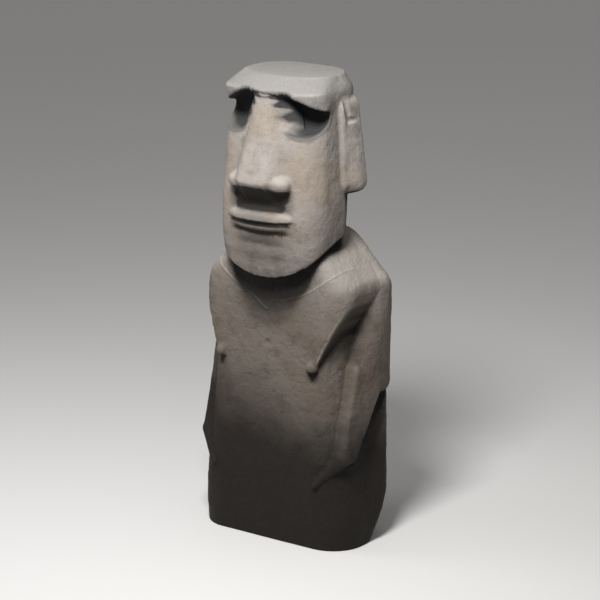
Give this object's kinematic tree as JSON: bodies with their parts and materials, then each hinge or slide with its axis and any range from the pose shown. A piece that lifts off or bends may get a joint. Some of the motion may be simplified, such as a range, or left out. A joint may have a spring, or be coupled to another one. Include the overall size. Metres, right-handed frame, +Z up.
{
  "type": "moai statue",
  "caption": "Standing stone moai carved from a single block, with a long head, heavy brow, arms held down the sides and a flat foot to stand on.",
  "frame": {"origin": "centre of the bounding box on the ground, under the middle of the foot", "axes": "+Z up through the crown, -Y the way the figure faces, +X the figure's own left"},
  "size_m": [0.9538, 0.6996, 2.42],
  "materials": {
    "basalt": "weathered fine-grained basalt, brown-grey, pitted, paler on the head and shoulders and darker with grime towards the foot"
  },
  "bodies": {
    "root": {"moai": "basalt"}
  },
  "joints": []
}
